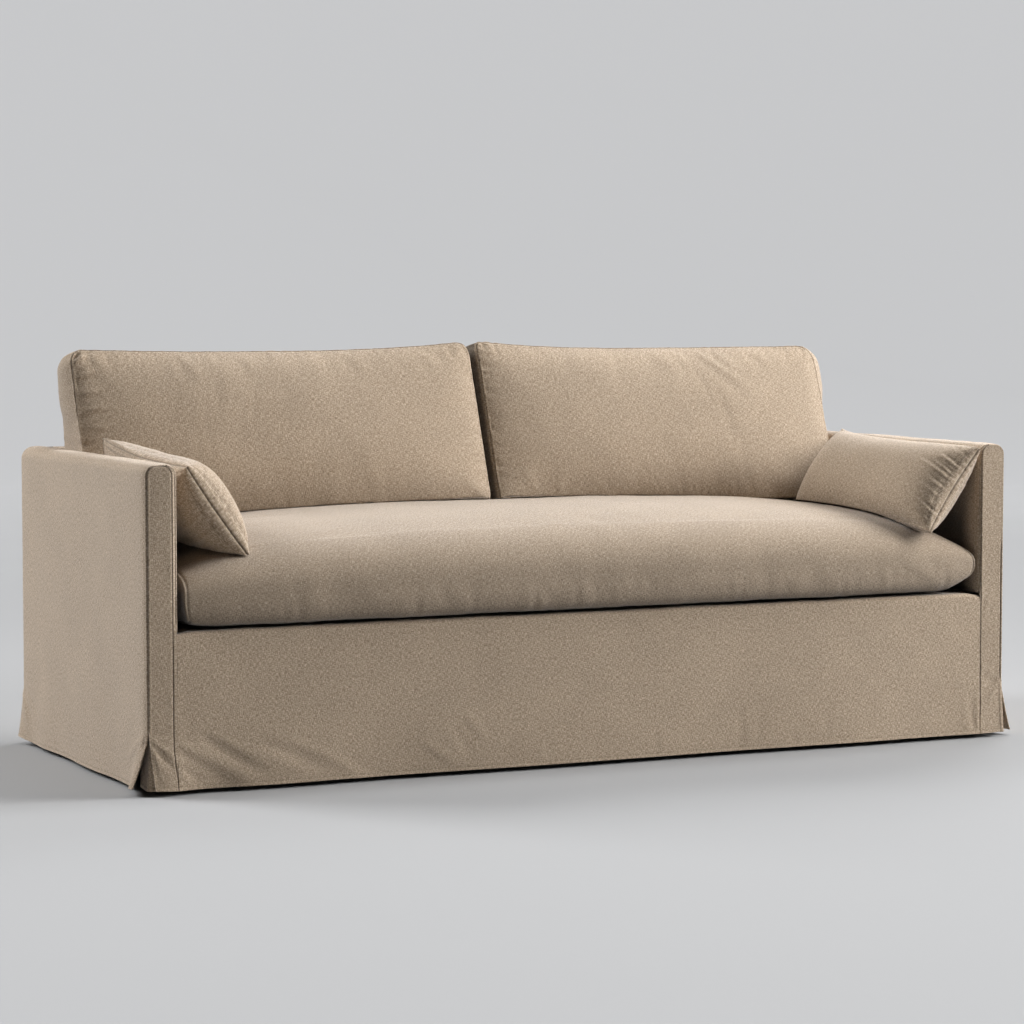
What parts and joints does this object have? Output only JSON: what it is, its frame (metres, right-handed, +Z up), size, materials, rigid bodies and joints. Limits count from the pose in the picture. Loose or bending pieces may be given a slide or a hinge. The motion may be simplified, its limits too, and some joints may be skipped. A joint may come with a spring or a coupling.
{
  "type": "sofa slipcover",
  "caption": "Fitted linen slipcover set for a slim-armed sofa: hollow cover with skirt and corner pleats, bench seat cushion, two boxed back cushions and two arm pillows.",
  "frame": {"origin": "middle of the seat deck's underside, where the sofa's frame carries the cover", "axes": "+Z up, +Y towards the sofa's back, +X to the right of someone facing the sofa, along its length"},
  "size_m": [2.0953, 0.8875, 0.8787],
  "materials": {
    "cover_cloth": "matt heathered linen and cotton weave",
    "cushion_cloth": "matt heathered linen and cotton weave, filled"
  },
  "bodies": {
    "root": {"arm_cover_left": "cover_cloth", "arm_cover_right": "cover_cloth", "arm_front_left": "cover_cloth", "arm_front_right": "cover_cloth", "arm_pillow_left": "cushion_cloth", "arm_pillow_right": "cushion_cloth", "back_cushion_left": "cushion_cloth", "back_cushion_right": "cushion_cloth", "front_skirt": "cover_cloth", "inside_back": "cover_cloth", "outside_back": "cover_cloth", "pleat_back_left": "cover_cloth", "pleat_back_right": "cover_cloth", "pleat_front_left": "cover_cloth", "pleat_front_right": "cover_cloth", "seat_cushion": "cushion_cloth", "seat_deck": "cover_cloth"}
  },
  "joints": []
}
